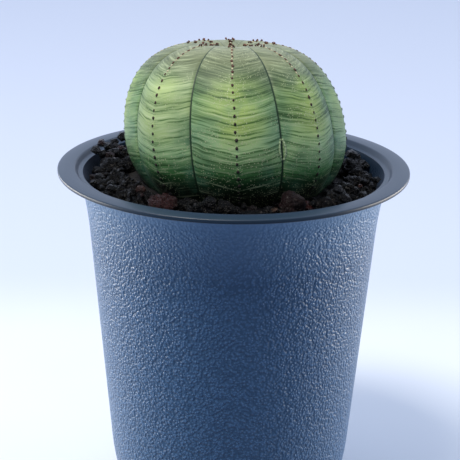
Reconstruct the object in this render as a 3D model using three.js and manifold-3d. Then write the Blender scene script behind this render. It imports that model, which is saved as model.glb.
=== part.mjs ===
// A ribbed ball euphorbia in a round plastic nursery pot, standing on its foot.
// Millimetres, +Z up, origin at the middle of the pot's foot, the front rib towards -Y.
import * as THREE from "three";
import { ConvexGeometry } from "three/addons/geometries/ConvexGeometry.js";
import { mergeVertices } from "three/addons/utils/BufferGeometryUtils.js";
import Module from "manifold-3d";

// Driving dimensions of the pot
const RIM_DIAMETER = 90;
const POT_HEIGHT = 94;
const WALL = 1.1;
const LIP_THICKNESS = 1.1;
const LIP_WIDTH = 4.4; // the flat top of the lip
const LIP_OVERHANG = 4.9; // from the body out to the lip's edge
const LIP_FILLET = 0.8; // under the lip
const LEDGE_DEPTH = 1.3; // a small step just inside the mouth
const LEDGE_WIDTH = 0.8;
const BODY_LEAN = 4.8; // degrees from upright
const FLARE_HEIGHT = 17; // the body widens towards the lip over this height
const FLARE = 1.65;
const FLARE_POWER = 2.2; // 1 widens evenly, more keeps the widening close to the lip
const HEEL_HEIGHT = 19; // the body turns in to the foot over this height
const HEEL_INSET = 5.3;
const FOOT_RING_WIDTH = 4;
const FOOT_RECESS = 1.5;
const FLOOR = 1.4;
const DRAIN_HOLES = 6; // in a ring round one in the middle
const DRAIN_HOLE_DIAMETER = 7;
const DRAIN_HOLE_EDGE = 2; // from the holes to the foot ring

// Driving dimensions of the plant
const PLANT_DIAMETER = 56.2; // over opposite ribs
const CROWN_HEIGHT = 25; // from the widest level up to the crown
const CROWN_SLOPE = 2.1; // 2 is an ellipse, more keeps the flanks upright for longer
const CROWN_FLATNESS = 3.2; // 2 is an ellipse, more makes the top flatter
const CROWN_DIMPLE = 3; // the crown is sunken in the middle
const DIMPLE_RADIUS = 6;
const BASE_HEIGHT = 22.5; // from the widest level down to where the root starts
const WIDEST_ABOVE_MIX = 13.9; // at the wall
const RIBS = 8;
const RIB_DEPTH = 1.4; // from a rib's crest in to the groove beside it
const RIB_TURN = 1.3; // degrees, of the front rib from -Y
const RIB_SPREAD = 1.6; // degrees that every other rib is wider on each side, the front one too
const LEAN = 6; // degrees that the plant leans back
const CROWN_SHIFT = -1.2; // the crown and the base lie to the sides of the pot's axis
const BASE_SHIFT = 1;
const ROOT_LENGTH = 26; // below the ball
const ROOT_DIAMETER = 9;
const ROOT_TIP = 0.25; // the root's width at its tip, over its full width

// Driving dimensions of the potting mix and of the loose grit on it
const MIX_DROP = 6.5; // from the lip down to the mix at the wall
const MOUND_RISE = 2.4; // the mix rises towards the plant
const HEAP_RISE = 2.2; // and is heaped up at the wall on one side
const HEAP_BEARING = 130; // degrees from +X
const GRAINS = 56;
const LARGEST_GRAIN = 6.5;
const SMALLEST_GRAIN = 3.8;
const FLATTEST = 0.7; // a grain's height over its length

const GAP = 0.3; // between pieces that touch
const GRAIN_GAP = 0.1; // at least, between two grains
const TRIES_PER_SIZE = 1500; // for a grain's place, before it is made smaller
const TURN_STEPS = 60; // flats round the pot and the mix
const RIB_STEPS = 6; // flats across one rib
const HOLE_STEPS = 20; // flats round a drain hole

const rad = THREE.MathUtils.degToRad;
const smooth = (t) => THREE.MathUtils.smoothstep(t, 0, 1);

// Heights that several pieces share
const floorTop = FOOT_RECESS + FLOOR;
const mixAtWall = POT_HEIGHT - MIX_DROP;
const widestLevel = mixAtWall + WIDEST_ABOVE_MIX;

// A repeatable run of numbers from 0 to 1
function numbers(seed) {
  let state = seed;
  return () => {
    state = (state * 16807) % 2147483647;
    return state / 2147483647;
  };
}

// Outer radius of the pot's body at a height above the ground
function bodyRadius(z) {
  const drop = POT_HEIGHT - z;
  const flareLeft = Math.max(0, 1 - drop / FLARE_HEIGHT) ** FLARE_POWER;
  const heelPart = Math.min(1, Math.max(0, 1 - z / HEEL_HEIGHT));
  const straight = RIM_DIAMETER / 2 - LIP_OVERHANG - FLARE - drop * Math.tan(rad(BODY_LEAN));
  return straight + FLARE * flareLeft - HEEL_INSET * (1 - Math.sqrt(1 - heelPart ** 2));
}

const wallRadius = (z) => bodyRadius(z) - WALL;

// Heights from low to high, closer together where the wall curves
function wallLevels(low, high) {
  const heel = [90, 72, 54, 36, 18, 0].map((turn) => HEEL_HEIGHT * (1 - Math.sin(rad(turn))));
  const flare = [1, 0.6, 0.35, 0.15].map((part) => POT_HEIGHT - part * FLARE_HEIGHT);
  const between = [...heel, ...flare].filter((z) => z > low + GAP && z < high - GAP);
  return [low, ...between, high];
}

// A solid of revolution from [radius, height] pairs that go up its outside
function turned(profile, steps = TURN_STEPS) {
  const points = profile.map(([r, z]) => new THREE.Vector2(r, z));
  return new THREE.LatheGeometry(points, steps).rotateX(Math.PI / 2);
}

const wasm = await Module();
wasm.setup();

function solid(geometry) {
  const bare = geometry.clone();
  bare.deleteAttribute("normal");
  bare.deleteAttribute("uv");
  const merged = mergeVertices(bare, 1e-4);
  const vertProperties = new Float32Array(merged.attributes.position.array);
  const triVerts = new Uint32Array(merged.index.array);
  return new wasm.Manifold(new wasm.Mesh({ numProp: 3, vertProperties, triVerts }));
}

function geometryOf(manifold) {
  const mesh = manifold.getMesh();
  const geometry = new THREE.BufferGeometry();
  geometry.setAttribute("position", new THREE.BufferAttribute(mesh.vertProperties, 3));
  geometry.setIndex(new THREE.BufferAttribute(mesh.triVerts, 1));
  return geometry;
}

// The pot: one thin moulding with a floor, a foot ring, drain holes and a rolled-out lip
function potGeometry() {
  const rim = RIM_DIAMETER / 2;
  const lipUnder = POT_HEIGHT - LIP_THICKNESS;
  const ledge = POT_HEIGHT - LEDGE_DEPTH;
  const mouth = rim - LIP_WIDTH;
  const edge = LIP_THICKNESS / 4;
  const inside = wallLevels(floorTop, ledge).map((z) => [wallRadius(z), z]);
  const outside = wallLevels(0, lipUnder - LIP_FILLET).map((z) => [bodyRadius(z), z]);
  const footInside = bodyRadius(0) - FOOT_RING_WIDTH;
  const profile = [
    [0, FOOT_RECESS],
    [footInside, FOOT_RECESS],
    [footInside, 0],
    ...outside,
    [bodyRadius(lipUnder) + LIP_FILLET, lipUnder],
    [rim - edge, lipUnder],
    [rim, lipUnder + edge],
    [rim, POT_HEIGHT - edge],
    [rim - edge, POT_HEIGHT],
    [mouth, POT_HEIGHT],
    [mouth - edge, POT_HEIGHT - edge],
    [mouth - LEDGE_WIDTH, ledge],
    ...inside.reverse(),
    [0, floorTop],
  ];
  const hole = DRAIN_HOLE_DIAMETER / 2;
  const drill = new THREE.CylinderGeometry(hole, hole, 3 * floorTop, HOLE_STEPS).rotateX(Math.PI / 2);
  const ringRadius = footInside - DRAIN_HOLE_EDGE - hole;
  let pot = solid(turned(profile)).subtract(solid(drill));
  for (let i = 0; i < DRAIN_HOLES; i += 1) {
    const turn = (i / DRAIN_HOLES) * 2 * Math.PI;
    pot = pot.subtract(solid(drill.clone().translate(ringRadius, 0, 0).rotateZ(turn)));
  }
  return geometryOf(pot);
}

// How far the middle of the plant lies from the pot's axis at a height. A flattened ball that
// leans back lies a little further back lower down.
function plantShift(z) {
  const t = (z - mixAtWall) / (widestLevel + CROWN_HEIGHT - mixAtWall);
  const flattened = 1 - (BASE_HEIGHT / (PLANT_DIAMETER / 2)) ** 2;
  return {
    x: THREE.MathUtils.lerp(BASE_SHIFT, CROWN_SHIFT, smooth(t)),
    y: (widestLevel - z) * Math.tan(rad(LEAN)) * flattened,
  };
}

// Radius over the ribs at a height
function ribRadius(z) {
  const up = z > widestLevel;
  const part = Math.min(1, Math.abs(z - widestLevel) / (up ? CROWN_HEIGHT : BASE_HEIGHT));
  const within = up ? (1 - part ** CROWN_SLOPE) ** (1 / CROWN_FLATNESS) : Math.sqrt(1 - part ** 2);
  return (PLANT_DIAMETER / 2) * within;
}

// Height of the upright ball's skin at a level, with the crown sunken in the middle
const sunken = (z) => z - CROWN_DIMPLE * Math.exp(-((ribRadius(z) / DIMPLE_RADIUS) ** 2));

// The plant: a ribbed ball on its tap root. room swells it on all sides, for the hole it stands in.
function plantGeometry(room = 0) {
  const base = widestLevel - BASE_HEIGHT;
  const rootRadius = ROOT_DIAMETER / 2;
  const profile = [[0, base - ROOT_LENGTH - room]];
  for (const part of [0.02, 0.3, 0.65, 1]) {
    const z = base + ROOT_LENGTH * (part - 1);
    profile.push([rootRadius * THREE.MathUtils.lerp(ROOT_TIP, 1, part) + room, z - room]);
  }
  const lowSteps = 9;
  for (let i = 1; i <= lowSteps; i += 1) {
    const turn = (i / lowSteps) * (Math.PI / 2);
    const z = widestLevel - BASE_HEIGHT * Math.cos(turn);
    profile.push([Math.max(ribRadius(z), rootRadius) + room, z - room * Math.cos(turn)]);
  }
  const highSteps = 16;
  for (let i = 1; i <= highSteps; i += 1) {
    const z = widestLevel + CROWN_HEIGHT * (1 - (1 - i / highSteps) ** 2);
    const outward = i < highSteps ? ribRadius(z) + room : 0;
    profile.push([outward, sunken(z) + room * (i / highSteps)]);
  }
  const geometry = turned(profile, RIBS * RIB_STEPS);
  const place = geometry.attributes.position;
  for (let i = 0; i < place.count; i += 1) {
    const [x, y, z] = [place.getX(i), place.getY(i), place.getZ(i)];
    const bearing = Math.atan2(x, -y);
    const inGroove = 1 - Math.abs(Math.cos((RIBS / 2) * bearing));
    const onBall = smooth((z - base) / (BASE_HEIGHT / 2));
    const out = Math.hypot(x, y) * (1 - (inGroove * onBall * RIB_DEPTH) / (PLANT_DIAMETER / 2));
    const turn = bearing + rad(RIB_TURN + RIB_SPREAD * Math.sin((RIBS / 2) * bearing));
    place.setXY(i, out * Math.sin(turn), -out * Math.cos(turn));
  }
  geometry.translate(0, 0, -widestLevel).rotateX(-rad(LEAN)).translate(0, 0, widestLevel);
  for (let i = 0; i < place.count; i += 1) {
    place.setX(i, place.getX(i) + plantShift(place.getZ(i)).x);
  }
  return geometry;
}

// Height of the mix at a place
function mixHeight(x, y) {
  const fromAxis = Math.hypot(x, y);
  const mixRadius = wallRadius(mixAtWall);
  const inward = (mixRadius - fromAxis) / (mixRadius - ribRadius(mixAtWall));
  const facing = Math.max(0, Math.cos(Math.atan2(y, x) - rad(HEAP_BEARING)));
  const outward = fromAxis / mixRadius;
  return mixAtWall + MOUND_RISE * smooth(inward) + HEAP_RISE * facing ** 2 * outward ** 2;
}

// The potting mix: it fills the pot, and the plant's root stands in it
function mixGeometry() {
  const bottom = floorTop + GAP;
  const rise = wallLevels(bottom, mixAtWall).map((z) => [wallRadius(z) - GAP, z]);
  const collar = ribRadius(mixAtWall);
  const across = wallRadius(mixAtWall) - GAP - collar;
  const top = [0.75, 0.5, 0.25, 0].map((t) => [collar + t * across, mixAtWall]);
  const geometry = turned([[0, bottom], ...rise, ...top, [0, mixAtWall]]);
  const place = geometry.attributes.position;
  for (let i = 0; i < place.count; i += 1) {
    if (place.getZ(i) > mixAtWall - 1e-3) place.setZ(i, mixHeight(place.getX(i), place.getY(i)));
  }
  return geometryOf(solid(geometry).subtract(solid(plantGeometry(GAP))));
}

// One grain of crushed grit: a rough convex stone about as long as size
function grainGeometry(size, random) {
  const points = [];
  const corners = 14;
  const flatness = FLATTEST + 0.2 * random();
  for (let i = 0; i < corners; i += 1) {
    const up = 1 - (2 * (i + 0.5)) / corners;
    const round = Math.sqrt(1 - up * up);
    const turn = i * 2.4 + random();
    const reach = (size / 2) * (0.88 + 0.12 * random());
    const corner = new THREE.Vector3(Math.cos(turn) * round, Math.sin(turn) * round, up * flatness);
    points.push(corner.multiplyScalar(reach));
  }
  return new ConvexGeometry(points);
}

// The lowest level for the foot of a grain at a place, as its underside curves up from its middle
function restLevel(x, y, reach) {
  const fromAxis = Math.hypot(x, y);
  const levels = [-0.9, -0.5, 0, 0.5, 0.9].map((part) => {
    const scale = (fromAxis + part * reach) / fromAxis;
    const curve = FLATTEST * reach * (1 - Math.sqrt(1 - part * part));
    return mixHeight(x * scale, y * scale) - curve;
  });
  return Math.max(...levels);
}

// Places for the grains, large ones first. One that finds no room is made a little smaller.
function grainPlaces(random) {
  const places = [];
  for (let i = 0; i < GRAINS; i += 1) {
    let size = THREE.MathUtils.lerp(LARGEST_GRAIN, SMALLEST_GRAIN, (i / (GRAINS - 1)) ** 1.3);
    let tries = 0;
    let place = null;
    while (!place) {
      place = freePlace(size, places, random);
      tries += 1;
      if (tries % TRIES_PER_SIZE === 0) size *= 0.97;
    }
    places.push(place);
  }
  return places;
}

function freePlace(size, places, random) {
  const reach = size / 2;
  const turn = 2 * Math.PI * random();
  const outer = wallRadius(mixAtWall) - GAP - reach;
  const inner = ribRadius(mixAtWall) + GAP + reach - BASE_SHIFT;
  const fromAxis = Math.sqrt(THREE.MathUtils.lerp(inner ** 2, outer ** 2, random()));
  const x = fromAxis * Math.cos(turn);
  const y = fromAxis * Math.sin(turn);
  const under = restLevel(x, y, reach);
  const top = under + GAP + size;
  const plant = plantShift(top);
  const clearOfPlant = Math.hypot(x - plant.x, y - plant.y) - ribRadius(top) > reach + GAP;
  const clearOfGrains = places.every((other) => {
    return Math.hypot(x - other.x, y - other.y) > reach + other.size / 2 + GRAIN_GAP;
  });
  return fromAxis < outer && clearOfPlant && clearOfGrains ? { x, y, under, size } : null;
}

function finish(color, roughness) {
  return new THREE.MeshStandardMaterial({ color, roughness, metalness: 0 });
}

const plastic = finish("#45566f", 0.55);
const skin = finish("#76915c", 0.6);
const peat = finish("#2a2422", 0.95);
const lava = finish("#2d2827", 0.9);

function named(name, geometry, material) {
  const mesh = new THREE.Mesh(geometry, material);
  mesh.name = name;
  return mesh;
}

const potted = new THREE.Group();
potted.add(named("pot", potGeometry(), plastic));
potted.add(named("potting_mix", mixGeometry(), peat));
potted.add(named("plant", plantGeometry(), skin));

const random = numbers(2024);
const grit = new THREE.Group();
grainPlaces(random).forEach((place, i) => {
  const geometry = grainGeometry(place.size, random);
  geometry.computeBoundingBox();
  const grain = named(`grit_${String(i + 1).padStart(2, "0")}`, geometry, lava);
  grain.position.set(place.x, place.y, place.under + GAP - geometry.boundingBox.min.z);
  grit.add(grain);
});
potted.add(grit);

export default potted;
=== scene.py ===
import bisect
import math
import random

import bmesh
import bpy
from mathutils import Matrix, Vector, noise
from mathutils.bvhtree import BVHTree


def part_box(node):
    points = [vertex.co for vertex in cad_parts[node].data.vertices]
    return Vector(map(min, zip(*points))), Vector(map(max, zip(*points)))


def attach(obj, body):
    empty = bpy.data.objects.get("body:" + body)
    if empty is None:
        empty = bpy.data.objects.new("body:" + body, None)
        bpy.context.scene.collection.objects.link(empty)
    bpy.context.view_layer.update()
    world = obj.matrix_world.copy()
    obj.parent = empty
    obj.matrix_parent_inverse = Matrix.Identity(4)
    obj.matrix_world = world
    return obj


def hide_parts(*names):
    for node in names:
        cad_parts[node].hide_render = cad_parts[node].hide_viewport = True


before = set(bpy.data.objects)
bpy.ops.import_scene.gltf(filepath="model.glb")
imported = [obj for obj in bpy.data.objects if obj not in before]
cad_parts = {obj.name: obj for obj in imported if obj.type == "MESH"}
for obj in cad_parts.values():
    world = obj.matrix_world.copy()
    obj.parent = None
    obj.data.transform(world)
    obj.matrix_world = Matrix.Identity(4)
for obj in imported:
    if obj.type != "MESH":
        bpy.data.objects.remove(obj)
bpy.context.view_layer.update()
mm = 0.001

# ---------------------------------------------------------------------------------------
# The viewpoint. A short telephoto lens a little above the rim of the pot, close enough
# that the foot of the pot falls below the view.
# ---------------------------------------------------------------------------------------
pot_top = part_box("pot")[1]
rim_radius = pot_top.x
pot_height = pot_top.z

lens_distance = 350 * mm
lens_elevation = math.radians(16.3)
lens_pitch = math.radians(19.07)
lens_yaw = math.radians(0.123)
lens_roll = math.radians(0.86)

camera_data = bpy.data.cameras.new("short_telephoto")
camera_data.sensor_width = 36
camera_data.lens = 106.5
camera_data.clip_start = 0.02
camera = bpy.data.objects.new("short_telephoto", camera_data)
bpy.context.scene.collection.objects.link(camera)
bpy.context.scene.camera = camera
stand = Vector((0, -math.cos(lens_elevation), math.sin(lens_elevation))) * lens_distance
camera.matrix_world = (
    Matrix.Translation(stand + Vector((0, 0, pot_height)))
    @ Matrix.Rotation(lens_yaw, 4, "Z")
    @ Matrix.Rotation(math.pi / 2 - lens_pitch, 4, "X")
    @ Matrix.Rotation(lens_roll, 4, "Z")
)


# ---------------------------------------------------------------------------------------
# The table and the light. A white laminate top, painted greyer in front as painted shade, under a
# window high on the left. The pale room is dimmer on the viewer's side, and low panels light the pot's
# flanks.
# ---------------------------------------------------------------------------------------
def linear(code):
    """A colour given as sRGB hex, as the linear value that a shader wants."""
    parts = [int(code[i:i + 2], 16) / 255 for i in (1, 3, 5)]
    return [c / 12.92 if c < 0.04045 else ((c + 0.055) / 1.055) ** 2.4 for c in parts] + [1]


def add(tree, kind, inputs=(), ramp=(), **settings):
    """Adds a node with its settings. An input is a value, a colour code or a socket to link."""
    made = tree.nodes.new(kind)
    for name, value in settings.items():
        setattr(made, name, value)
    for name, value in dict(inputs).items():
        if isinstance(value, bpy.types.NodeSocket):
            tree.links.new(value, made.inputs[name])
        else:
            made.inputs[name].default_value = linear(value) if isinstance(value, str) else value
    for i, (place, colour) in enumerate(ramp):
        stops = made.color_ramp.elements
        stop = stops[i] if i < len(stops) else stops.new(place)
        stop.position = place
        stop.color = linear(colour) if isinstance(colour, str) else [colour] * 3 + [1]
    return made


def material(name):
    """An empty node material and its tree."""
    made = bpy.data.materials.new(name)
    made.use_nodes = True
    made.node_tree.nodes.clear()
    return made, made.node_tree


def surface(tree, **inputs):
    """Ends a tree in a Principled shader. Underscores in the names stand for spaces."""
    named = {name.replace("_", " "): value for name, value in inputs.items()}
    shader = add(tree, "ShaderNodeBsdfPrincipled", named)
    add(tree, "ShaderNodeOutputMaterial", {"Surface": shader.outputs["BSDF"]})
    return shader


def piece(name, bm, skin, smooth=True):
    """Turns a finished bmesh into an object with one material."""
    mesh = bpy.data.meshes.new(name)
    bm.to_mesh(mesh)
    bm.free()
    mesh.materials.append(skin)
    mesh.polygons.foreach_set("use_smooth", [smooth] * len(mesh.polygons))
    made = bpy.data.objects.new(name, mesh)
    bpy.context.scene.collection.objects.link(made)
    return made


# White laminate is pressed melamine: a matt white with only a trace of mottle, a bluer grey further
# back, and in front of the pot painted a dark grey-blue as painted shade
table_top, tree = material("white laminate")
place = add(tree, "ShaderNodeTexCoord").outputs["Object"]
mottle = add(tree, "ShaderNodeTexNoise", {"Vector": place, "Scale": 9, "Detail": 3}).outputs["Fac"]
tint = add(tree, "ShaderNodeValToRGB", {"Fac": mottle}, ramp=[(0.3, "#d8dde3"), (0.7, "#dde1e6")])
depth = add(tree, "ShaderNodeSeparateXYZ", {"Vector": place}).outputs["Y"]
beyond = add(tree, "ShaderNodeMapRange", {"Value": depth, "From Min": 0.10, "From Max": 0.17},
             interpolation_type="SMOOTHSTEP").outputs[0]
tint = add(tree, "ShaderNodeMix", {0: beyond, 6: tint.outputs["Color"], 7: "#cad1df"}, data_type="RGBA")
# Painted shade: the table in front of the pot is painted a dark grey-blue.
painted_shade_in_front = add(tree, "ShaderNodeMapRange", {"Value": depth, "From Min": 0.005, "From Max": -0.06},
             interpolation_type="SMOOTHSTEP").outputs[0]
tint = add(tree, "ShaderNodeMix", {0: painted_shade_in_front, 6: tint.outputs[2], 7: "#6f7c8e"}, data_type="RGBA")
surface(tree, Base_Color=tint.outputs[2], Roughness=0.6)

table_size = 6.0
bm = bmesh.new()
bmesh.ops.create_grid(bm, x_segments=2, y_segments=2, size=table_size / 2)
table = piece("table_top", bm, table_top, smooth=False)

# The room's walls are brightest behind the pot
room = bpy.data.worlds.new("pale room")
room.use_nodes = True
room.node_tree.nodes.clear()
tree = room.node_tree
bpy.context.scene.world = room
towards = add(tree, "ShaderNodeTexCoord").outputs["Generated"]
apart = add(tree, "ShaderNodeSeparateXYZ", {"Vector": towards})
behind = add(tree, "ShaderNodeMapRange", {"Value": apart.outputs["Y"], "From Min": -0.7,
                                          "From Max": 0.3, "To Min": 0.36, "To Max": 1.4},
             interpolation_type="SMOOTHSTEP")
shade = add(tree, "ShaderNodeBackground", {"Color": "#d6e2fb", "Strength": behind.outputs[0]})
add(tree, "ShaderNodeOutputWorld", {"Surface": shade.outputs["Background"]})


def window(name, place, aim, width, height, power, colour):
    """A soft rectangular light that faces aim."""
    data = bpy.data.lights.new(name, "AREA")
    data.shape = "RECTANGLE"
    data.size = width
    data.size_y = height
    data.energy = power
    data.color = linear(colour)[:3]
    made = bpy.data.objects.new(name, data)
    bpy.context.scene.collection.objects.link(made)
    turned = (aim - place).to_track_quat("-Z", "Y").to_matrix().to_4x4()
    made.matrix_world = Matrix.Translation(place) @ turned
    made.visible_camera = False
    return made


# The key light is above, left and in front. The panels stand low on both sides of the pot.
middle = Vector((0, 0, pot_height))
window("key_window", middle + Vector((-0.33, -0.30, 0.94)), middle, 0.34, 0.34, 10.0, "#fffaf0")
low = Vector((0, 0, pot_height / 2))
left_panel = window("left_panel", low + Vector((-0.45, 0.13, 0.02)), low, 0.45, 0.12, 2.6, "#fff8ee")
right_panel = window("right_panel", low + Vector((0.45, 0.13, 0.02)), low, 0.45, 0.12, 2.6, "#fff6ea")

bpy.context.scene.view_settings.view_transform = "Standard"

# ---------------------------------------------------------------------------------------
# The pot. One thin moulding in slate-blue polypropylene, grained like leather outside and
# smooth on the lip and inside, with a drained floor raised on a foot ring.
# ---------------------------------------------------------------------------------------
wall = 1.1 * mm
lip_width = 4.4 * mm
lip_thickness = 1.1 * mm
lip_overhang = 4.9 * mm
lip_fillet = 0.8 * mm
lip_rounding = 0.35 * mm
ledge_depth = 1.3 * mm
ledge_width = 0.8 * mm
body_lean = math.radians(4.8)
flare_height = 17 * mm
flare = 1.65 * mm
heel_height = 19 * mm
heel_inset = 5.3 * mm
foot_ring_width = 4 * mm
foot_recess = 1.5 * mm
floor_top = 2.9 * mm
drain_holes = 6
drain_hole_radius = 3.5 * mm
drain_hole_edge = 2 * mm
drain_hole_flats = 20
turn_steps = 180
outside_levels = 48
inside_levels = 40


def body_radius(z):
    """Outer radius of the pot's body at a height."""
    drop = pot_height - z
    flare_left = max(0, 1 - drop / flare_height) ** 2.2
    heel_part = min(1, max(0, 1 - z / heel_height))
    straight = rim_radius - lip_overhang - flare - drop * math.tan(body_lean)
    return straight + flare * flare_left - heel_inset * (1 - math.sqrt(1 - heel_part ** 2))


def levels(low, high, count):
    """Heights up the wall, closest near the foot where the wall turns in."""
    return [low + (high - low) * (i / (count - 1)) ** 1.6 for i in range(count)]


lip_under = pot_height - lip_thickness
ledge = pot_height - ledge_depth
mouth = rim_radius - lip_width
foot_inside = body_radius(0) - foot_ring_width
below = [(0, foot_recess), (foot_inside, foot_recess), (foot_inside, 0)]
below += [(body_radius(z), z) for z in levels(0, lip_under - lip_fillet, outside_levels)]
below += [(body_radius(lip_under) + lip_fillet, lip_under)]
lip = [(rim_radius, lip_under), (rim_radius, pot_height), (mouth, pot_height), (mouth - ledge_width, ledge)]
inside = [(body_radius(z) - wall, z) for z in levels(floor_top, ledge, inside_levels)]

bm = bmesh.new()
outline = [bm.verts.new((r, 0, z)) for r, z in below + lip + inside[::-1] + [(0, floor_top)]]
for pair in zip(outline, outline[1:]):
    bm.edges.new(pair)
corners = outline[len(below):len(below) + len(lip)]
bmesh.ops.bevel(bm, geom=corners, offset=lip_rounding, affect="VERTICES", segments=4, profile=0.5,
                material=-1)
bmesh.ops.spin(bm, geom=bm.verts[:] + bm.edges[:], cent=(0, 0, 0), axis=(0, 0, 1),
               angle=2 * math.pi, steps=turn_steps, use_merge=True)
bmesh.ops.remove_doubles(bm, verts=bm.verts[:], dist=1e-6)
bmesh.ops.recalc_face_normals(bm, faces=bm.faces[:])

# Injection-moulded polypropylene. The mould was etched with a leather grain, pebbles 0.6 mm wide
# whose tops are painted paler as a painted highlight of fine pale specks. The lip and the inside came
# out smooth, and the lip darker. The inside is painted darker as painted shade in the pot's hollow,
# and a band below the lip is painted lighter as painted light.
pot_plastic, tree = material("moulded polypropylene")
place = add(tree, "ShaderNodeTexCoord").outputs["Object"]
millimetres = add(tree, "ShaderNodeVectorMath", {"Vector": place, "Scale": 1 / mm},
                  operation="SCALE").outputs[0]
pebbles = add(tree, "ShaderNodeTexVoronoi", {"Vector": millimetres, "Scale": 1 / 0.62, "Randomness": 0.95},
              feature="SMOOTH_F1")
wrinkles = add(tree, "ShaderNodeTexNoise", {"Vector": millimetres, "Scale": 1 / 1.3, "Detail": 2})
grain = add(tree, "ShaderNodeMath", {0: pebbles.outputs["Distance"], 1: -2.0, 2: wrinkles.outputs["Fac"]},
            operation="MULTIPLY_ADD").outputs[0]
apart = add(tree, "ShaderNodeSeparateXYZ", {"Vector": place})
across = add(tree, "ShaderNodeVectorMath", {0: place, 1: (1, 1, 0)}, operation="MULTIPLY").outputs[0]
facing = add(tree, "ShaderNodeNewGeometry").outputs["Normal"]
outwards = add(tree, "ShaderNodeVectorMath", {0: facing, 1: across},
               operation="DOT_PRODUCT").outputs["Value"]
# Painted shade: faces turned towards the axis, the inside of the pot, are painted dark.
painted_shade_inside = add(tree, "ShaderNodeMapRange", {"Value": outwards, "From Min": -0.002,
                                           "From Max": -0.02}).outputs[0]
under_lip = add(tree, "ShaderNodeMapRange", {"Value": apart.outputs["Z"], "From Min": lip_under - 1 * mm,
                                             "From Max": lip_under - 6 * mm, "To Min": 0.0, "To Max": 1.0})
grain_bump = add(tree, "ShaderNodeBump", {"Height": grain, "Strength": under_lip.outputs[0],
                                          "Distance": 0.2 * mm})
# Painted highlight: the tops of the pebbles are painted paler than their edges.
tint = add(tree, "ShaderNodeValToRGB", {"Fac": pebbles.outputs["Distance"]},
           ramp=[(0.12, "#4a6d95"), (0.5, "#314f70")])
on_lip = add(tree, "ShaderNodeMapRange", {"Value": apart.outputs["Z"], "From Min": ledge - 0.5 * mm,
                                          "From Max": ledge - 0.1 * mm})
# Painted light: a band below the lip is painted lighter.
painted_light_below_lip = add(tree, "ShaderNodeMapRange", {"Value": apart.outputs["Z"], "From Min": lip_under - 18 * mm,
                                         "From Max": lip_under - 3 * mm, "To Max": 0.6}).outputs[0]
tint = add(tree, "ShaderNodeMix", {0: painted_light_below_lip, 6: tint.outputs["Color"], 7: "#6d8fb5"}, data_type="RGBA")
tint = add(tree, "ShaderNodeMix", {0: on_lip.outputs[0], 6: tint.outputs[2], 7: "#172a3c"},
           data_type="RGBA")
tint = add(tree, "ShaderNodeMix", {0: painted_shade_inside, 6: tint.outputs[2], 7: "#132538"}, data_type="RGBA")
surface(tree, Base_Color=tint.outputs[2], Roughness=0.38, Specular_IOR_Level=0.38, Sheen_Weight=0.15,
        Sheen_Roughness=0.3, Sheen_Tint="#cfdcff", Normal=grain_bump.outputs["Normal"])
pot = piece("nursery_pot", bm, pot_plastic)

# Six drain holes in a ring round one in the middle are cut through the floor
bm = bmesh.new()
ring_radius = foot_inside - drain_hole_edge - drain_hole_radius
hole_places = [(0, 0)]
for i in range(drain_holes):
    turn = i / drain_holes * 2 * math.pi
    hole_places.append((ring_radius * math.cos(turn), ring_radius * math.sin(turn)))
for x, y in hole_places:
    bmesh.ops.create_cone(bm, cap_ends=True, segments=drain_hole_flats, radius1=drain_hole_radius,
                          radius2=drain_hole_radius, depth=3 * floor_top,
                          matrix=Matrix.Translation((x, y, floor_top)))
drills = piece("drills", bm, pot_plastic)
cut = pot.modifiers.new("drain_holes", "BOOLEAN")
cut.operation = "DIFFERENCE"
cut.object = drills
moulded = bpy.data.meshes.new_from_object(pot.evaluated_get(bpy.context.evaluated_depsgraph_get()))
pot.modifiers.clear()
pot.data = moulded
moulded.set_sharp_from_angle(angle=math.radians(40))
bpy.data.objects.remove(drills)
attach(pot, "root")
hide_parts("pot")

# The two low panels are screened so that they light the sides of the pot alone
screened = bpy.data.collections.new("lit_by_the_low_panels")
screened.objects.link(pot)
left_panel.light_linking.receiver_collection = screened
right_panel.light_linking.receiver_collection = screened

# ---------------------------------------------------------------------------------------
# The potting mix. Dark peat and coir that fill the pot and hold the plant's root. Only
# a little of it shows between the grains on top.
# ---------------------------------------------------------------------------------------
# Loose and fibrous: matt, nearly black when damp, with crumbs about a millimetre wide
peat, tree = material("peat and coir")
place = add(tree, "ShaderNodeTexCoord").outputs["Object"]
millimetres = add(tree, "ShaderNodeVectorMath", {"Vector": place, "Scale": 1 / mm},
                  operation="SCALE").outputs[0]
crumbs = add(tree, "ShaderNodeTexNoise", {"Vector": millimetres, "Scale": 1 / 1.2, "Detail": 6,
                                          "Roughness": 0.65})
tint = add(tree, "ShaderNodeValToRGB", {"Fac": crumbs.outputs["Fac"]},
           ramp=[(0.35, "#060505"), (0.7, "#171210")])
crumbled = add(tree, "ShaderNodeBump", {"Height": crumbs.outputs["Fac"], "Distance": 1.2 * mm})
surface(tree, Base_Color=tint.outputs["Color"], Roughness=0.95, Normal=crumbled.outputs["Normal"])
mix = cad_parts["potting_mix"]
for skin_slot in mix.material_slots:
    skin_slot.material = peat

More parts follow.
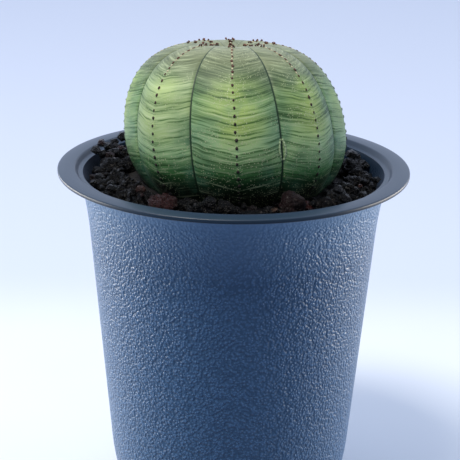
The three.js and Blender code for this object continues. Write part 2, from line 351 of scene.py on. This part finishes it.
# ---------------------------------------------------------------------------------------
# The plant. A leafless ball of eight broad ribs with a waxy skin, finely banded where it
# grew in stages. A row of tubercles runs down each rib, and a narrow furrow parts the ribs.
# ---------------------------------------------------------------------------------------
mix_below_rim = 6.5 * mm
mix_at_wall = pot_height - mix_below_rim
widest_above_mix = 13.9 * mm
widest_level = mix_at_wall + widest_above_mix
plant_radius = 28.1 * mm
crown_height = 24.2 * mm
crown_slope = 2.1
crown_flatness = 3.2
crown_dimple = 3 * mm
dimple_radius = 6 * mm
base_height = 22.5 * mm
root_length = 26 * mm
root_radius = 4.5 * mm
root_taper = 0.75
ribs = 8
rib_depth = 1.4 * mm
rib_turn = math.radians(1.3)
rib_spread = math.radians(1.6)
lean = math.radians(6)
crown_shift = -1.2 * mm
base_shift = 1.0 * mm
furrow_depth = 0.4 * mm
furrow_width = 0.4 * mm
tubercle_spacing = 1.9 * mm
tubercle_rise = 0.2 * mm
tubercle_width = 0.8 * mm
profile_steps = 300
root_steps = 20

# The upright ball's outline over a rib, from the middle of the sunken crown to the root's tip
profile = []
for i in range(profile_steps + 1):
    t = (i / profile_steps) ** 2
    radius = plant_radius * (1 - (1 - t) ** crown_slope) ** (1 / crown_flatness)
    sunken = crown_dimple * math.exp(-(radius / dimple_radius) ** 2)
    profile.append((radius, crown_height * (1 - t) - sunken))
for i in range(1, profile_steps + 1):
    turn = i / profile_steps * math.pi / 2
    profile.append((max(plant_radius * math.cos(turn), root_radius), -base_height * math.sin(turn)))
for i in range(1, root_steps + 1):
    t = i / root_steps
    profile.append((root_radius * (1 - root_taper * t), -base_height - root_length * t))
profile.append((0, -base_height - root_length))
lengths = [0.0]
for (r1, z1), (r2, z2) in zip(profile, profile[1:]):
    lengths.append(lengths[-1] + math.hypot(r2 - r1, z2 - z1))


def down_rib(distance):
    """Radius and height of the outline at a distance from its start at the crown."""
    step = min(bisect.bisect_left(lengths, distance), len(lengths) - 1)
    if step == 0:
        return profile[0]
    (r1, z1), (r2, z2) = profile[step - 1:step + 1]
    part = (distance - lengths[step - 1]) / (lengths[step] - lengths[step - 1])
    return r1 + (r2 - r1) * part, z1 + (z2 - z1) * part


def skin_at(distance, turn):
    """A point of the skin, at a distance down from the crown and a turn from the front rib."""
    radius, z = down_rib(distance)
    in_rib = (turn / (2 * math.pi) * ribs + 0.5) % 1 - 0.5
    rib_width = 2 * math.pi / ribs * radius
    on_ball = min(1, max(0, (z + base_height) / (base_height / 2)))
    folded = 1 - (1 - abs(math.cos(math.pi * in_rib))) * on_ball * rib_depth / plant_radius
    furrow = furrow_depth * math.exp(-((0.5 - abs(in_rib)) * rib_width / furrow_width) ** 2)
    nearest = round(distance / tubercle_spacing) * tubercle_spacing
    to_tubercle = math.hypot(distance - nearest, in_rib * rib_width)
    tubercle = tubercle_rise * math.exp(-(to_tubercle / tubercle_width) ** 2)
    radius = radius * folded + (tubercle - furrow) * min(1, radius / dimple_radius) * on_ball
    bearing = turn + rib_turn + rib_spread * math.sin(turn * ribs / 2)
    upright = Vector((radius * math.sin(bearing), -radius * math.cos(bearing), z))
    place = Matrix.Rotation(-lean, 3, "X") @ upright + Vector((0, 0, widest_level))
    rise = (place.z - mix_at_wall) / (widest_level + crown_height - mix_at_wall)
    rise = min(1, max(0, rise))
    place.x += base_shift + (crown_shift - base_shift) * rise * rise * (3 - 2 * rise)
    return place


# Most of the rings go to the part above the mix. The rest covers the buried base and the root.
seen_length = 62 * mm
seen_share = 0.72
around = 400
down = 220
pole_faces = 8
bm = bmesh.new()
bmesh.ops.create_uvsphere(bm, u_segments=around, v_segments=down, radius=1)
growth = bm.loops.layers.uv.new("ribs_and_mm")
grown_at = {}
for v in bm.verts:
    share = math.acos(max(-1, min(1, v.co.z))) / math.pi
    if share < seen_share:
        distance = seen_length * share / seen_share
    else:
        distance = seen_length + (lengths[-1] - seen_length) * (share - seen_share) / (1 - seen_share)
    turn = math.atan2(v.co.y, v.co.x) if len(v.link_faces) < pole_faces else 0
    grown_at[v] = (turn / (2 * math.pi) * ribs, distance / mm)
    v.co = skin_at(distance, turn)
for face in bm.faces:
    turns = [grown_at[v][0] for v in face.verts if len(v.link_faces) < pole_faces]
    wraps = max(turns) - min(turns) > ribs / 2
    turns = [turn + ribs if wraps and turn < 0 else turn for turn in turns]
    for loop in face.loops:
        turn, distance = grown_at[loop.vert]
        if len(loop.vert.link_faces) > pole_faces:
            turn = sum(turns) / len(turns)
        elif wraps and turn < 0:
            turn += ribs
        loop[growth].uv = (turn, distance)

# A living skin under a thin bloom of wax: satin, never shiny, with a faint ripple at each band
succulent_skin, tree = material("waxy succulent skin")
place = add(tree, "ShaderNodeTexCoord").outputs["Object"]
millimetres = add(tree, "ShaderNodeVectorMath", {"Vector": place, "Scale": 1 / mm},
                  operation="SCALE").outputs[0]
grown = add(tree, "ShaderNodeUVMap", uv_map="ribs_and_mm")
grown = add(tree, "ShaderNodeSeparateXYZ", {"Vector": grown.outputs["UV"]}).outputs
from_crest = add(tree, "ShaderNodeMath", {0: grown["X"], 1: 0.5}, operation="PINGPONG").outputs[0]
rib = add(tree, "ShaderNodeMath", {0: grown["X"]}, operation="ROUND").outputs[0]

# Bands of growth, fine ones 0.6 mm and broad ones 4 mm apart. They sag 2 mm at each crest.
waver = add(tree, "ShaderNodeTexNoise", {"Vector": millimetres, "Scale": 1 / 6, "Detail": 1}).outputs["Fac"]
level = add(tree, "ShaderNodeMath", {0: from_crest, 1: 4.0, 2: grown["Y"]},
            operation="MULTIPLY_ADD").outputs[0]
level = add(tree, "ShaderNodeMath", {0: waver, 1: 1.2, 2: level}, operation="MULTIPLY_ADD").outputs[0]
slow = add(tree, "ShaderNodeMath", {0: rib, 1: 5.3, 2: from_crest}, operation="MULTIPLY_ADD").outputs[0]
band_place = add(tree, "ShaderNodeCombineXYZ", {"X": slow, "Z": level}).outputs[0]
fine_bands = add(tree, "ShaderNodeTexNoise", {"Vector": band_place, "Scale": 1 / 0.6, "Detail": 2,
                                              "Roughness": 0.6}).outputs["Fac"]
broad_bands = add(tree, "ShaderNodeTexNoise", {"Vector": band_place, "Scale": 1 / 4,
                                               "Detail": 1}).outputs["Fac"]
patches = add(tree, "ShaderNodeTexNoise", {"Vector": millimetres, "Scale": 1 / 8,
                                           "Detail": 2}).outputs["Fac"]

# From the crown down: greyish olive, fresh green, then a deeper green, darkened near the soil almost to
# black by painted shade
depth = add(tree, "ShaderNodeMapRange", {"Value": grown["Y"], "From Max": 60.0}).outputs[0]
colour = add(tree, "ShaderNodeValToRGB", {"Fac": depth},
             ramp=[(0.0, "#8b8d73"), (0.13, "#828769"), (0.24, "#848969"), (0.33, "#79815d"),
                   (0.42, "#6b7d59"), (0.505, "#7b9a66"), (0.605, "#8dab76"), (0.705, "#a8c78f"),
                   (0.76, "#7fa36b"), (0.805, "#497d43"), (0.85, "#1d4420"),
                   (0.9, "#0b1f0d")]).outputs["Color"]

# Yellower beside the crests at mid height
near_crest = add(tree, "ShaderNodeMapRange", {"Value": from_crest, "From Min": 0.42,
                                              "From Max": 0.05}).outputs[0]
mid_height = add(tree, "ShaderNodeValToRGB", {"Fac": depth},
                 ramp=[(0.38, 0.0), (0.48, 1.0), (0.62, 1.0), (0.72, 0.0)]).outputs["Color"]
yellowed = add(tree, "ShaderNodeMath", {0: near_crest, 1: mid_height}, operation="MULTIPLY").outputs[0]
fresh = add(tree, "ShaderNodeMapRange", {"Value": patches, "From Min": 0.4, "From Max": 0.55}).outputs[0]
yellowed = add(tree, "ShaderNodeMath", {0: yellowed, 1: fresh}, operation="MULTIPLY").outputs[0]
colour = add(tree, "ShaderNodeMix", {0: yellowed, 6: colour, 7: "#a9bf6b"}, data_type="RGBA").outputs[2]

# Painted light: the rib left of the front one, which faces the key light, is painted paler at mid height
painted_light_on_left_rib = add(tree, "ShaderNodeMath", {0: rib, 1: -1.0, 2: 0.1}, operation="COMPARE").outputs[0]
painted_light_on_left_rib = add(tree, "ShaderNodeMath", {0: painted_light_on_left_rib, 1: mid_height}, operation="MULTIPLY").outputs[0]
painted_light_on_left_rib = add(tree, "ShaderNodeMath", {0: painted_light_on_left_rib, 1: 0.6}, operation="MULTIPLY").outputs[0]
colour = add(tree, "ShaderNodeMix", {0: painted_light_on_left_rib, 6: colour, 7: "#c4d596"}, data_type="RGBA").outputs[2]

# Bluish green in patches towards the furrows, low on the ball
to_furrow = add(tree, "ShaderNodeMapRange", {"Value": from_crest, "From Min": 0.15,
                                             "From Max": 0.5}).outputs[0]
teal = add(tree, "ShaderNodeMapRange", {"Value": patches, "From Min": 0.58, "From Max": 0.42}).outputs[0]
teal = add(tree, "ShaderNodeMath", {0: teal, 1: to_furrow}, operation="MULTIPLY").outputs[0]
lower = add(tree, "ShaderNodeMapRange", {"Value": depth, "From Min": 0.4, "From Max": 0.75}).outputs[0]
teal = add(tree, "ShaderNodeMath", {0: teal, 1: lower}, operation="MULTIPLY").outputs[0]
colour = add(tree, "ShaderNodeMix", {0: teal, 6: colour, 7: "#4f7d60"}, data_type="RGBA").outputs[2]

# The bands lighten and darken it
broad = add(tree, "ShaderNodeValToRGB", {"Fac": broad_bands}, ramp=[(0.35, "#d0d6cc"), (0.65, "#ffffff")])
colour = add(tree, "ShaderNodeMix", {0: 1.0, 6: colour, 7: broad.outputs["Color"]},
             data_type="RGBA", blend_type="MULTIPLY").outputs[2]
dark = add(tree, "ShaderNodeValToRGB", {"Fac": fine_bands}, ramp=[(0.36, "#89a284"), (0.5, "#ffffff")])
banded = add(tree, "ShaderNodeMapRange", {"Value": depth, "From Min": 0.15, "From Max": 0.5,
                                          "To Min": 0.25}).outputs[0]
colour = add(tree, "ShaderNodeMix", {0: banded, 6: colour, 7: dark.outputs["Color"]},
             data_type="RGBA", blend_type="MULTIPLY").outputs[2]
light = add(tree, "ShaderNodeMapRange", {"Value": fine_bands, "From Min": 0.56,
                                         "From Max": 0.72}).outputs[0]
light = add(tree, "ShaderNodeMath", {0: light, 1: 0.5}, operation="MULTIPLY").outputs[0]
colour = add(tree, "ShaderNodeMix", {0: light, 6: colour, 7: "#c3d0a2"}, data_type="RGBA").outputs[2]

# Corky specks 0.2 mm wide gather beside the crests and low on the ball
specks = add(tree, "ShaderNodeTexVoronoi", {"Vector": millimetres, "Scale": 1 / 0.42}).outputs
kept = add(tree, "ShaderNodeSeparateXYZ", {"Vector": specks["Color"]}).outputs["X"]
kept = add(tree, "ShaderNodeMath", {0: kept, 1: 0.45}, operation="GREATER_THAN").outputs[0]
corky = add(tree, "ShaderNodeTexNoise", {"Vector": millimetres, "Scale": 1 / 5, "Detail": 3}).outputs["Fac"]
corky = add(tree, "ShaderNodeMath", {0: near_crest, 1: 0.16, 2: corky}, operation="MULTIPLY_ADD").outputs[0]
corky = add(tree, "ShaderNodeMath", {0: lower, 1: 0.12, 2: corky}, operation="MULTIPLY_ADD").outputs[0]
corky = add(tree, "ShaderNodeMapRange", {"Value": corky, "From Min": 0.46, "From Max": 0.75}).outputs[0]
speck = add(tree, "ShaderNodeMapRange", {"Value": specks["Distance"], "From Min": 0.4,
                                         "From Max": 0.2}).outputs[0]
speck = add(tree, "ShaderNodeMath", {0: speck, 1: kept}, operation="MULTIPLY").outputs[0]
speck = add(tree, "ShaderNodeMath", {0: speck, 1: corky}, operation="MULTIPLY").outputs[0]
colour = add(tree, "ShaderNodeMix", {0: speck, 6: colour, 7: "#aeb58d"}, data_type="RGBA").outputs[2]

# The furrow is a dark green line
in_furrow = add(tree, "ShaderNodeMapRange", {"Value": from_crest, "From Min": 0.482,
                                             "From Max": 0.495}).outputs[0]
colour = add(tree, "ShaderNodeMix", {0: in_furrow, 6: colour, 7: "#1b3320"}, data_type="RGBA").outputs[2]
ripple = add(tree, "ShaderNodeBump", {"Height": fine_bands, "Strength": 0.5, "Distance": 0.12 * mm})
pitted = add(tree, "ShaderNodeTexNoise", {"Vector": millimetres, "Scale": 1 / 0.35,
                                          "Detail": 3}).outputs["Fac"]
pitted = add(tree, "ShaderNodeBump", {"Height": pitted, "Strength": 0.5, "Distance": 0.06 * mm,
                                      "Normal": ripple.outputs["Normal"]})
surface(tree, Base_Color=colour, Roughness=0.52, Specular_IOR_Level=0.35, Normal=pitted.outputs["Normal"])
plant = piece("euphorbia_ball", bm, succulent_skin)
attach(plant, "root")
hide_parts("plant")

# ---------------------------------------------------------------------------------------
# The scars and stalks. Each tubercle ends in the dry scar of a fallen leaf. Near the crown
# the woody stalks of last year's flowers still stand beside the scars.
# ---------------------------------------------------------------------------------------
# Dead, flaking bark: matt, reddish brown when young and black when old, with fresh cork cream
dry_bark, tree = material("dry bark")
age = add(tree, "ShaderNodeAttribute", attribute_name="age").outputs["Fac"]
place = add(tree, "ShaderNodeTexCoord").outputs["Object"]
millimetres = add(tree, "ShaderNodeVectorMath", {"Vector": place, "Scale": 1 / mm},
                  operation="SCALE").outputs[0]
tint = add(tree, "ShaderNodeValToRGB", {"Fac": age},
           ramp=[(0.0, "#8fa37c"), (0.01, "#c9bd9c"), (0.03, "#74493b"), (0.35, "#54362b"),
                 (0.6, "#2a211a"), (1.0, "#171411")])
flaked = add(tree, "ShaderNodeTexNoise", {"Vector": millimetres, "Scale": 1 / 0.3,
                                          "Detail": 2}).outputs["Fac"]
flaked = add(tree, "ShaderNodeBump", {"Height": flaked, "Distance": 0.1 * mm}).outputs["Normal"]
surface(tree, Base_Color=tint.outputs["Color"], Roughness=0.85, Normal=flaked)


def upright_at(distance, turn, aside=0.0):
    """A place on the skin with its outward direction as Z, and a step aside along the rib's width."""
    turn += aside / max(down_rib(distance)[0], 1 * mm)
    here = skin_at(distance, turn)
    step = 0.4 * mm
    lower_side = skin_at(distance + step, turn) - here
    right_side = skin_at(distance, turn + 0.01) - here
    outward = right_side.cross(-lower_side).normalized()
    return Matrix.Translation(here) @ outward.to_track_quat("Z", "Y").to_matrix().to_4x4()


random.seed(11)
bm = bmesh.new()
age_of = bm.verts.layers.float.new("age")
tubercles = range(3, 32)
stalk_rows = range(3, 7)
corked_rows = 12
shaded_rib = 6
for rib_number in range(ribs):
    turn = 2 * math.pi * rib_number / ribs
    for row in tubercles:
        distance = row * tubercle_spacing
        width = random.uniform(0.3, 0.44) * mm
        if rib_number == shaded_rib:
            width *= 0.5
        seat = upright_at(distance, turn, random.uniform(-0.12, 0.12) * mm)
        seat = seat @ Matrix.Diagonal((width, width * 1.25, width * 0.4, 1))
        made = bmesh.ops.create_icosphere(bm, subdivisions=1, radius=1, matrix=seat)
        for v in made["verts"]:
            v[age_of] = max(0.05, distance / (60 * mm))
            v.co += noise.noise_vector(v.co / (0.3 * mm)) * 0.08 * mm
        if row > corked_rows:
            continue
        # Cream cork shows between the scars of the newest growth
        seat = upright_at(distance + tubercle_spacing / 2, turn)
        seat = seat @ Matrix.Diagonal((0.26 * mm, 0.42 * mm, 0.14 * mm, 1))
        made = bmesh.ops.create_icosphere(bm, subdivisions=1, radius=1, matrix=seat)
        for v in made["verts"]:
            v[age_of] = 0.012
    for row in stalk_rows:
        for side in (-1, 1):
            tall = random.uniform(0.35, 0.7) * mm
            seat = upright_at(row * tubercle_spacing - 0.4 * mm, turn, side * random.uniform(0.3, 0.8) * mm)
            tilt = Matrix.Rotation(random.uniform(-0.5, 0.5), 4, "X") @ Matrix.Rotation(0.5 * side, 4, "Y")
            seat = seat @ tilt @ Matrix.Translation((0, 0, tall / 2))
            made = bmesh.ops.create_cone(bm, cap_ends=True, segments=6, radius1=0.16 * mm,
                                         radius2=0.26 * mm,
                                         depth=tall, matrix=seat)
            shade = random.uniform(0.03, 0.5)
            for v in made["verts"]:
                v[age_of] = shade

# An old wound has healed with a pucker of cork on both lips of the furrow right of the front rib
wound_top = 40.3 * mm
wound_beads = 14
bead_spacing = 0.36 * mm
for i in range(wound_beads):
    for side in (-1, 1):
        bow = math.sin(math.pi * (i + 0.5) / wound_beads)
        seat = upright_at(wound_top + bead_spacing * i, math.pi / ribs, side * (0.3 + 0.5 * bow) * mm)
        seat = seat @ Matrix.Diagonal((0.3 * mm, 0.36 * mm, 0.2 * mm, 1))
        swell = random.uniform(0.7, 1.3)
        made = bmesh.ops.create_icosphere(bm, subdivisions=1, radius=swell, matrix=seat)
        for v in made["verts"]:
            v[age_of] = 0.0
scars = piece("leaf_scars_and_stalks", bm, dry_bark)
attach(scars, "root")

# ---------------------------------------------------------------------------------------
# The top dressing. Crushed volcanic rock, sieved to a few millimetres and poured round the
# plant. It is full of fine pores, and here and there burnt red or weathered brown.
# ---------------------------------------------------------------------------------------
# Foamed basalt, broken and sieved: black and rough, with pores 0.5 mm wide whose pits are painted
# nearly black as painted shade, and a glint where a broken cell wall is glassy. Pale flecks on its
# high points are partly dust and partly painted glints.
lava, tree = material("crushed lava rock")
tone = add(tree, "ShaderNodeAttribute", attribute_name="tone").outputs["Fac"]
place = add(tree, "ShaderNodeTexCoord").outputs["Object"]
millimetres = add(tree, "ShaderNodeVectorMath", {"Vector": place, "Scale": 1 / mm},
                  operation="SCALE").outputs[0]
stone = add(tree, "ShaderNodeValToRGB", {"Fac": tone},
            ramp=[(0.0, "#020202"), (0.35, "#050404"), (0.6, "#0a0809"), (0.75, "#160f0f"),
                  (0.88, "#371b1a"),
                  (1.0, "#4c3f30")]).outputs["Color"]
mottle = add(tree, "ShaderNodeTexNoise", {"Vector": millimetres, "Scale": 1 / 0.6, "Detail": 6,
                                          "Roughness": 0.8})
mottle = mottle.outputs["Fac"]
# Pale flecks, partly dust and partly painted glints.
dust_and_painted_glints = add(tree, "ShaderNodeMapRange", {"Value": mottle, "From Min": 0.61, "From Max": 0.67}).outputs[0]
stone = add(tree, "ShaderNodeMix", {0: dust_and_painted_glints, 6: stone, 7: "#9c9694"}, data_type="RGBA").outputs[2]
# Painted shade: the pits of the pores are painted nearly black.
pores = add(tree, "ShaderNodeTexVoronoi", {"Vector": millimetres, "Scale": 1 / 0.55}).outputs["Distance"]
pore = add(tree, "ShaderNodeMapRange", {"Value": pores, "From Min": 0.12, "From Max": 0.45}).outputs[0]
stone = add(tree, "ShaderNodeMix", {0: pore, 6: "#060506", 7: stone}, data_type="RGBA").outputs[2]
rough = add(tree, "ShaderNodeMath", {0: pore, 1: 0.5, 2: mottle}, operation="MULTIPLY_ADD").outputs[0]
rough = add(tree, "ShaderNodeBump", {"Height": rough, "Distance": 1.1 * mm}).outputs["Normal"]
surface(tree, Base_Color=stone, Roughness=0.28, Specular_IOR_Level=0.25, Normal=rough)


def tone_of_a_grain():
    """Mostly near black, some brown, a few red or tan."""
    draw = random.random()
    return draw * 0.75 if draw < 0.8 else 0.6 + (draw - 0.8) * 2


grain_swell = 1.6
chips_per_grain = 14
random.seed(5)
grain_names = sorted(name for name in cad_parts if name.startswith("grit_"))
large = bmesh.new()
for name in grain_names:
    low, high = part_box(name)
    middle = (low + high) / 2
    half = Matrix.Diagonal((high - low) / 2 * grain_swell)
    bm = bmesh.new()
    tone_layer = bm.verts.layers.float.new("tone")
    bmesh.ops.create_icosphere(bm, subdivisions=4, radius=1)
    chips = []
    for _ in range(chips_per_grain):
        normal = Vector((random.gauss(0, 1), random.gauss(0, 1), random.gauss(0, 1))).normalized()
        chips.append((normal, random.uniform(0.5, 0.8)))
    grain_tone = 0.9 * tone_of_a_grain()
    offset = Vector((random.uniform(0, 50), random.uniform(0, 50), random.uniform(0, 50)))
    for v in bm.verts:
        outward = v.co.normalized()
        reach = 1.0
        for normal, distance in chips:
            facing = outward.dot(normal)
            if facing > distance:
                reach = min(reach, distance / facing)
        reach += 0.16 * noise.noise(outward * 2.2 + offset)
        reach += 0.14 * noise.noise(outward * 5 + offset)
        reach -= 0.3 * max(0, noise.noise(outward * 9 + offset))
        v.co = middle + half @ outward * reach
        v[tone_layer] = grain_tone
    grain = piece(name.replace("grit", "lava_grain"), bm, lava)
    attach(grain, "root")
    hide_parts(name)
    large.from_mesh(grain.data)

# The finer grains settle one by one on what lies there already. A grid holds its height.
cell = 0.5 * mm
settling = 0.7
reach_out = body_radius(pot_height) - wall
cells = int(reach_out / cell) + 1
lying = BVHTree.FromBMesh(large)
large.free()
bm = bmesh.new()
bm.from_mesh(mix.data)
mix_shape = BVHTree.FromBMesh(bm)
bm.free()
bm = bmesh.new()
bm.from_mesh(plant.data)
plant_shape = BVHTree.FromBMesh(bm)
bm.free()
surface_height = {}
for i in range(-cells, cells + 1):
    for j in range(-cells, cells + 1):
        above = Vector((i * cell, j * cell, pot_height + 10 * mm))
        on_grain = lying.ray_cast(above, Vector((0, 0, -1)))[0]
        on_mix = mix_shape.ray_cast(above, Vector((0, 0, -1)))[0]
        found = [place.z for place in (on_grain, on_mix) if place]
        surface_height[i, j] = max(found) if found else mix_at_wall


def settled(x, y, radius):
    """Height of the middle of a grain that comes to rest at a place, and the cells under it."""
    near = int(radius / cell) + 1
    i0, j0 = round(x / cell), round(y / cell)
    height = 0
    under = []
    for i in range(i0 - near, i0 + near + 1):
        for j in range(j0 - near, j0 + near + 1):
            away = (i * cell - x) ** 2 + (j * cell - y) ** 2
            if away < radius ** 2 and (i, j) in surface_height:
                bulge = math.sqrt(radius ** 2 - away)
                under.append((i, j, bulge))
                height = max(height, surface_height[i, j] + bulge * settling)
    return height, under


# The first of them are coarser and lie in a heap against the wall, behind the plant
fine_grains = 150
heaped_grains = 30
heap_from = 112
heap_to = 168
tries = 6
chip_corners = 14
bm = bmesh.new()
tone_layer = bm.verts.layers.float.new("tone")
for count in range(fine_grains + heaped_grains):
    heaped = count < heaped_grains
    radius = random.uniform(0.5, 1.0) * mm + random.random() ** 3 * 0.8 * mm
    if heaped:
        radius = random.uniform(1.0, 1.7) * mm
    best = None
    for _ in range(tries):
        turn = math.radians(random.uniform(heap_from, heap_to)) if heaped else random.uniform(0,
                                                                                              2 * math.pi)
        nearest_out = (32 if heaped or count % 3 == 0 else 20) * mm
        out = math.sqrt(random.uniform(nearest_out ** 2, reach_out ** 2))
        x, y = out * math.cos(turn), out * math.sin(turn)
        height, under = settled(x, y, radius)
        if best is None or height < best[0]:
            centre = Vector((x, y, height))
            nearest, normal, _, gap = plant_shape.find_nearest(centre)
            beside_plant = gap > radius * 0.8 and (centre - nearest).dot(normal) > 0
            if beside_plant and out + radius * 0.9 < body_radius(height) - wall:
                best = (height, centre, under)
    if best is None:
        continue
    height, centre, under = best
    for i, j, bulge in under:
        surface_height[i, j] = max(surface_height[i, j], height + bulge * settling)
    grain_tone = tone_of_a_grain()
    spin = Matrix.Rotation(random.uniform(0, 6.3), 3, "Z") @ Matrix.Rotation(random.uniform(-0.6, 0.6), 3,
                                                                             "X")
    points = []
    for k in range(chip_corners):
        up = 1 - 2 * (k + 0.5) / chip_corners
        level = math.sqrt(1 - up * up)
        angle = k * 2.4 + random.uniform(0, 1)
        corner = Vector((math.cos(angle) * level, math.sin(angle) * level * 0.85, up * 0.75))
        points.append(bm.verts.new(centre + spin @ corner * radius * random.uniform(0.9, 1.2)))
        points[-1][tone_layer] = grain_tone
    bmesh.ops.convex_hull(bm, input=points)
loose = [v for v in bm.verts if not v.link_faces]
bmesh.ops.delete(bm, geom=loose, context="VERTS")
fine_grit = piece("fine_lava_grit", bm, lava, smooth=False)
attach(fine_grit, "root")
